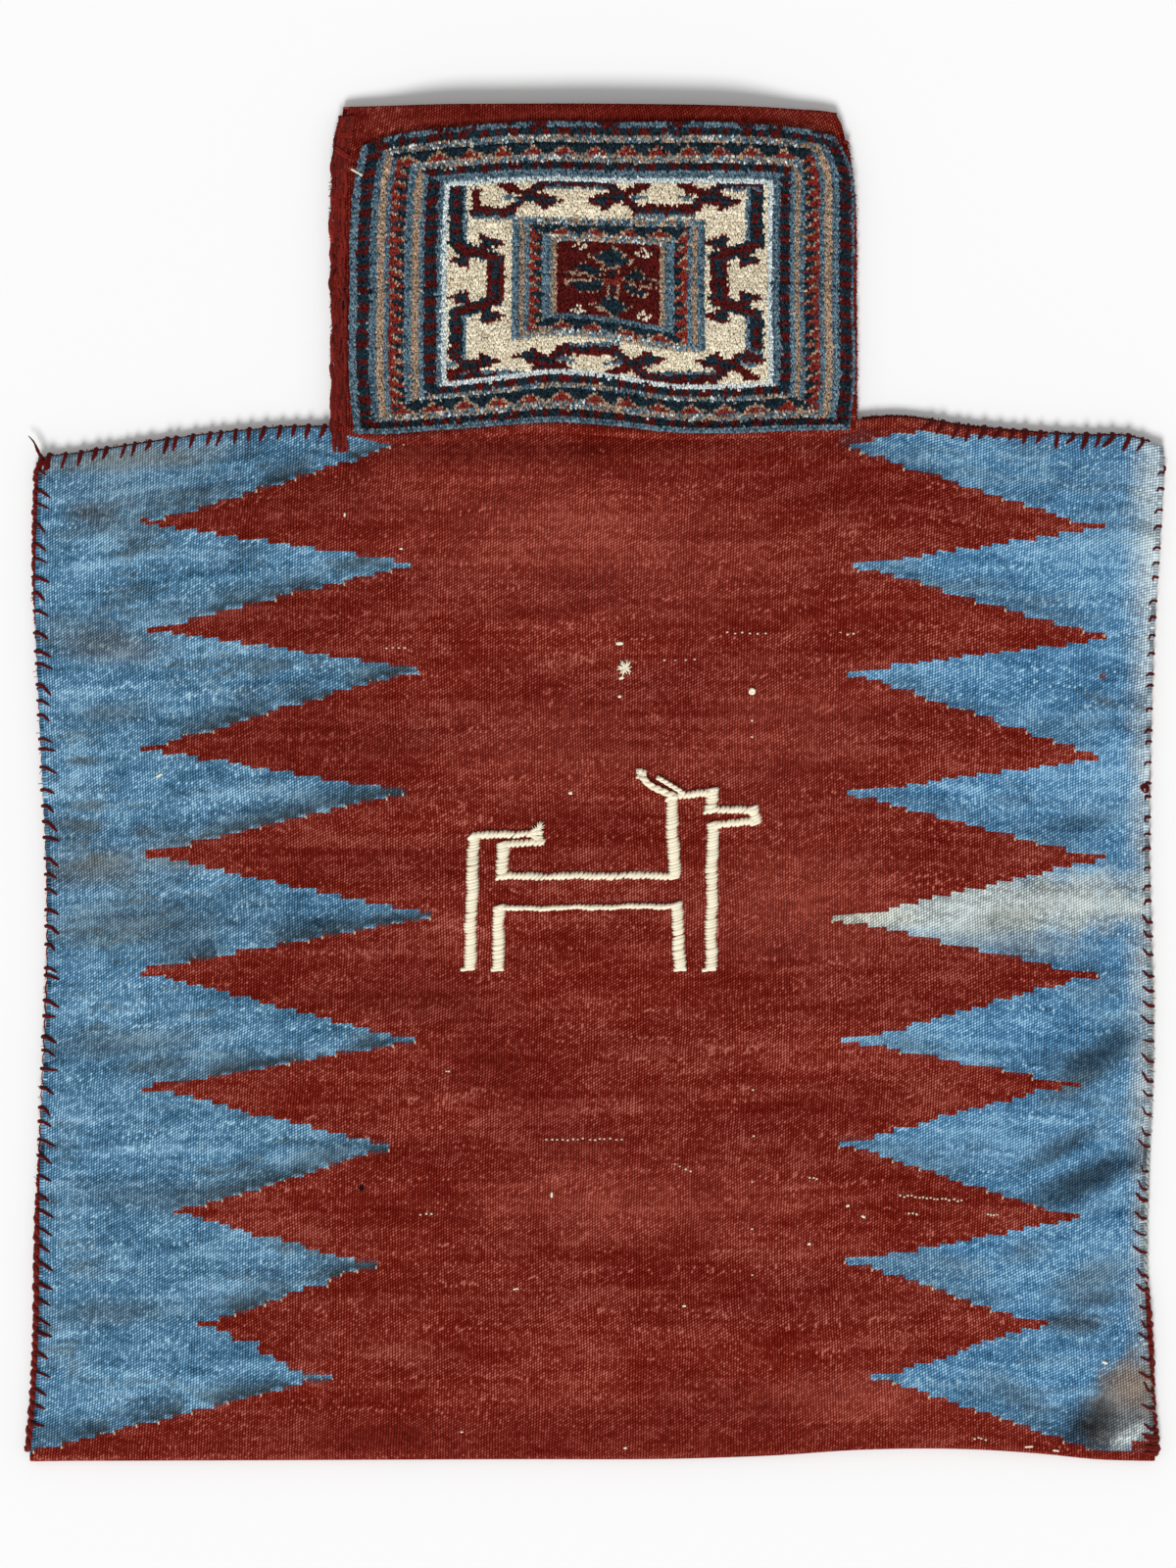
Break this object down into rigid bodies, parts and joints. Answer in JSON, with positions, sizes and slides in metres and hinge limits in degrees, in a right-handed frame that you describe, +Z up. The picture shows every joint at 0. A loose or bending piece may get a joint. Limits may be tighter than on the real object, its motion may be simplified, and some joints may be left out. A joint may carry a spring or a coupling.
{
  "type": "salt bag",
  "caption": "Flat woven salt bag: a wide pocket folded at the bottom, a narrow open neck with a knotted panel, stepped side fields and a raised-yarn animal.",
  "frame": {"origin": "middle of the bag's outline on the surface it lies on", "axes": "+X to the right of the front, +Y from the bottom fold to the mouth, +Z up out of the front"},
  "size_m": [0.5577, 0.675, 0.018],
  "materials": {
    "red_wool": "weft-faced plain weave, matt",
    "blue_wool": "weft-faced plain weave, matt, faded in streaks",
    "maroon_wool": "twisted sewing yarn, matt",
    "white_yarn": "loosely twisted wrapped yarn, matt",
    "pile_teal": "cut pile, matt",
    "pile_red": "cut pile, matt",
    "pile_blue": "cut pile, matt",
    "pile_tan": "cut pile, matt",
    "pile_ivory": "cut pile, matt"
  },
  "bodies": {
    "root": {"bag_cloth": "red_wool", "blue_field_left": "blue_wool", "blue_field_right": "blue_wool", "side_overcast_left": "maroon_wool", "side_overcast_right": "maroon_wool", "shoulder_overcast_left": "maroon_wool", "shoulder_overcast_right": "maroon_wool", "neck_overcast_left": "maroon_wool", "neck_overcast_right": "maroon_wool", "animal_outline": "white_yarn", "animal_belly": "white_yarn", "outer_checks_teal": "pile_teal", "border_triangles_teal": "pile_teal", "inner_checks_teal": "pile_teal", "frame_triangles_teal": "pile_teal", "palmette_left": "pile_teal", "palmette_right": "pile_teal", "palmette_bottom": "pile_teal", "palmette_top": "pile_teal", "outer_checks_red": "pile_red", "border_triangles_red": "pile_red", "inner_checks_red": "pile_red", "frame_triangles_red": "pile_red", "meander": "pile_red", "centre_field": "pile_red", "blue_line_outer": "pile_blue", "blue_line_middle": "pile_blue", "blue_line_inner": "pile_blue", "frame_blue": "pile_blue", "tan_line_outer": "pile_tan", "tan_line_inner": "pile_tan", "frame_tan": "pile_tan", "frame_tan_inner": "pile_tan", "centre_cross": "pile_tan", "pale_line": "pile_ivory", "ivory_outside_meander": "pile_ivory", "ivory_inside_meander": "pile_ivory"}
  },
  "joints": []
}
